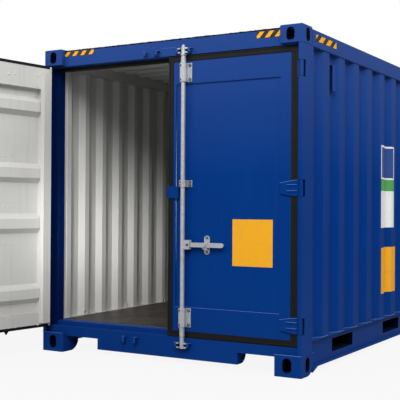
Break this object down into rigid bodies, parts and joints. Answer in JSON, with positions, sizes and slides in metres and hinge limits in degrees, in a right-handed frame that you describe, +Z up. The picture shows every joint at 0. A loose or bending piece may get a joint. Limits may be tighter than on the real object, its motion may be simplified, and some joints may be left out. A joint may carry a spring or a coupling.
{
  "type": "shipping container",
  "caption": "Short steel freight container with corrugated walls, hollow corner castings, fork pockets and end doors locked by rods and cams, of which the left stands open.",
  "frame": {"origin": "on the ground, midway between the four bottom corner castings", "axes": "+X to the right seen from the door end, +Y from the door end to the closed end, +Z up"},
  "size_m": [2.5709, 4.2077, 2.591],
  "materials": {
    "blue_painted_steel": "satin paint",
    "grey_painted_steel": "satin paint",
    "galvanised_steel": "dull zinc",
    "black_rubber": "matt",
    "varnished_plywood": "worn varnish"
  },
  "bodies": {
    "container": {"top_casting_door_left": "blue_painted_steel", "bottom_casting_door_left": "blue_painted_steel", "top_casting_door_right": "blue_painted_steel", "bottom_casting_door_right": "blue_painted_steel", "top_casting_rear_left": "blue_painted_steel", "bottom_casting_rear_left": "blue_painted_steel", "top_casting_rear_right": "blue_painted_steel", "bottom_casting_rear_right": "blue_painted_steel", "door_post_left": "blue_painted_steel", "door_post_right": "blue_painted_steel", "rear_posts": "blue_painted_steel", "door_header": "blue_painted_steel", "door_sill": "blue_painted_steel", "rear_header": "blue_painted_steel", "rear_sill": "blue_painted_steel", "top_side_rails": "blue_painted_steel", "bottom_side_rails": "blue_painted_steel", "fork_pocket_door_end": "blue_painted_steel", "fork_pocket_rear_end": "blue_painted_steel", "floor_cross_members": "blue_painted_steel", "plywood_floor": "varnished_plywood", "side_wall_left": "blue_painted_steel", "side_wall_right": "blue_painted_steel", "rear_wall": "blue_painted_steel", "roof_panel": "blue_painted_steel", "hinge_pins": "blue_painted_steel", "header_keepers": "blue_painted_steel", "sill_keepers": "blue_painted_steel", "side_vents": "blue_painted_steel", "lashing_rings": "grey_painted_steel"},
    "left_door": {"left_door_frame": "blue_painted_steel", "left_door_panel": "blue_painted_steel", "left_door_seal": "black_rubber", "left_door_hinges": "blue_painted_steel", "left_rod_fittings": "galvanised_steel"},
    "left_rod": {"left_lock_rod": "galvanised_steel"},
    "left_handle": {"left_door_handle": "galvanised_steel"},
    "right_door": {"right_door_frame": "blue_painted_steel", "right_door_panel": "blue_painted_steel", "right_door_seal": "black_rubber", "right_door_hinges": "blue_painted_steel", "right_rod_fittings": "galvanised_steel"},
    "right_rod": {"right_lock_rod": "galvanised_steel"},
    "right_handle": {"right_door_handle": "galvanised_steel"}
  },
  "joints": [
    {"name": "right_door_swing", "type": "hinge", "parent": "container", "child": "right_door", "pos_m": [1.206, -1.481, 0], "axis": [0, 0, 1], "range_deg": [0, 255]},
    {"name": "left_door_swing", "type": "hinge", "parent": "container", "child": "left_door", "pos_m": [-1.206, -1.481, 0], "axis": [0, 0, 1], "range_deg": [-158, 97]},
    {"name": "right_rod_turn", "type": "hinge", "parent": "right_door", "child": "right_rod", "pos_m": [0.1845, -1.47, 0], "axis": [0, 0, 1], "range_deg": [-100, 0]},
    {"name": "left_rod_turn", "type": "hinge", "parent": "left_door", "child": "left_rod", "pos_m": [-1.32652, -2.5528, 0], "axis": [0, 0, 1], "range_deg": [0, 100]},
    {"name": "right_handle_lift", "type": "hinge", "parent": "right_rod", "child": "right_handle", "pos_m": [0.2365, -1.47, 0.948], "axis": [0, -1, 0], "range_deg": [0, 20]},
    {"name": "left_handle_lift", "type": "hinge", "parent": "left_rod", "child": "left_handle", "pos_m": [-1.32018, -2.50119, 0.948], "axis": [0.9925, -0.1219, 0], "range_deg": [0, 20]}
  ]
}
